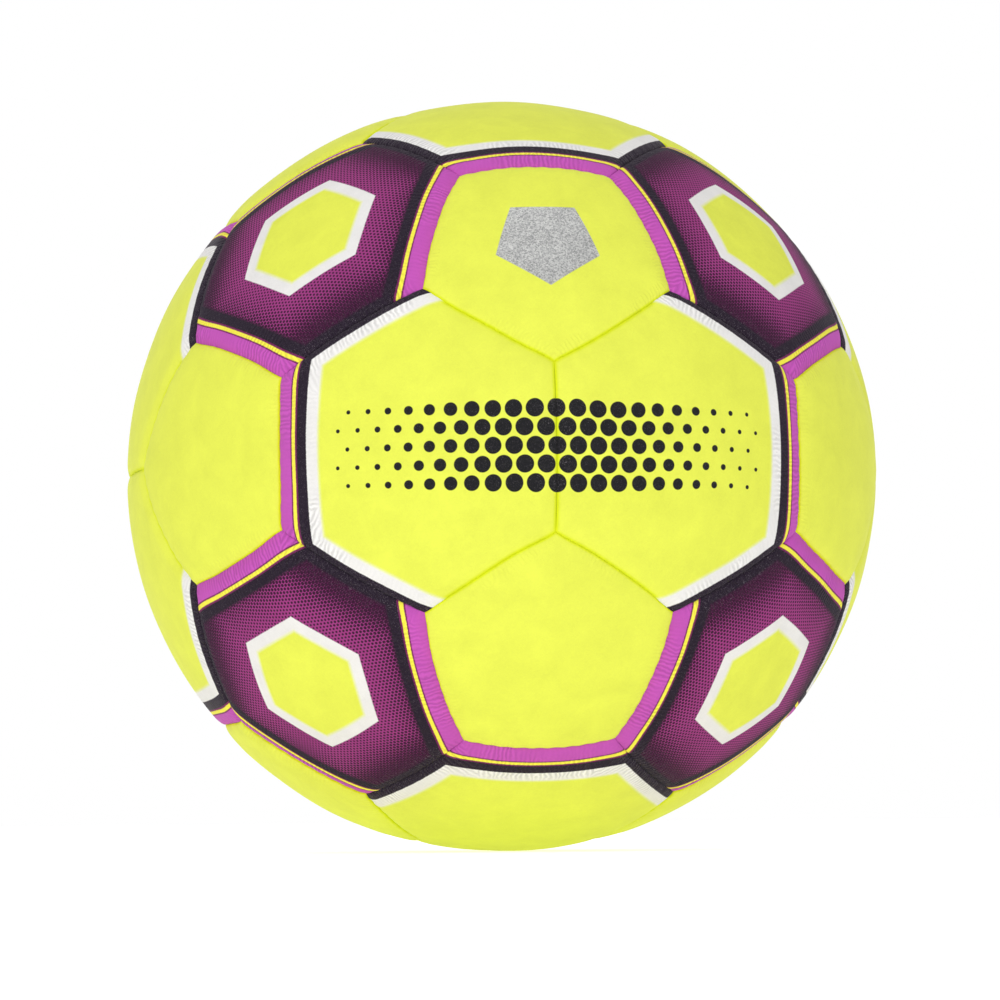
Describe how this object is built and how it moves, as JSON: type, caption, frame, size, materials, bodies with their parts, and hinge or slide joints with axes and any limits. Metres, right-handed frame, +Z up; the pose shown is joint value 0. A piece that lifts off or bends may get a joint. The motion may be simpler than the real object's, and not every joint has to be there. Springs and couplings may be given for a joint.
{
  "type": "indoor soccer ball",
  "caption": "Hand-stitched indoor soccer ball with a felt cover of pentagons and hexagons over an inflated bladder with a needle valve.",
  "frame": {"origin": "the ball's centre", "axes": "+Z up and -Z down to the ground; -Y is the front, where a seam between two hexagons stands upright; +X is the ball's right as seen from the front; each axis runs through the middle of a seam between two hexagons"},
  "size_m": [0.219, 0.219, 0.219],
  "materials": {
    "yellow_felt": "matte short-nap felt, printed",
    "purple_felt": "matte short-nap felt, printed",
    "seam_thread": "waxed twisted polyester",
    "bladder_latex": "smooth latex, dusted with talc",
    "valve_rubber": "satin moulded rubber",
    "patch_cloth": "plain-woven cotton"
  },
  "bodies": {
    "root": {"pentagon_front_upper": "yellow_felt", "pentagon_front_lower": "yellow_felt", "pentagon_back_upper": "yellow_felt", "pentagon_back_lower": "yellow_felt", "pentagon_left_front": "yellow_felt", "pentagon_left_back": "yellow_felt", "pentagon_right_front": "yellow_felt", "pentagon_right_back": "yellow_felt", "pentagon_top_left": "yellow_felt", "pentagon_top_right": "yellow_felt", "pentagon_bottom_left": "yellow_felt", "pentagon_bottom_right": "yellow_felt", "hexagon_front_left": "yellow_felt", "hexagon_front_right": "yellow_felt", "hexagon_back_left": "yellow_felt", "hexagon_back_right": "yellow_felt", "hexagon_left_upper": "yellow_felt", "hexagon_left_lower": "yellow_felt", "hexagon_right_upper": "yellow_felt", "hexagon_right_lower": "yellow_felt", "hexagon_top_front": "yellow_felt", "hexagon_top_back": "yellow_felt", "hexagon_bottom_front": "yellow_felt", "hexagon_bottom_back": "yellow_felt", "hexagon_upper_front_left": "purple_felt", "hexagon_upper_front_right": "purple_felt", "hexagon_upper_back_left": "purple_felt", "hexagon_upper_back_right": "purple_felt", "hexagon_lower_front_left": "purple_felt", "hexagon_lower_front_right": "purple_felt", "hexagon_lower_back_left": "purple_felt", "hexagon_lower_back_right": "purple_felt", "seam_thread_front_upper": "seam_thread", "seam_thread_front_lower": "seam_thread", "seam_thread_back_upper": "seam_thread", "seam_thread_back_lower": "seam_thread", "seam_thread_left_front": "seam_thread", "seam_thread_left_back": "seam_thread", "seam_thread_right_front": "seam_thread", "seam_thread_right_back": "seam_thread", "seam_thread_top_left": "seam_thread", "seam_thread_top_right": "seam_thread", "seam_thread_bottom_left": "seam_thread", "seam_thread_bottom_right": "seam_thread", "bladder": "bladder_latex", "valve_body": "valve_rubber", "valve_core": "valve_rubber", "valve_patch": "patch_cloth"}
  },
  "joints": []
}
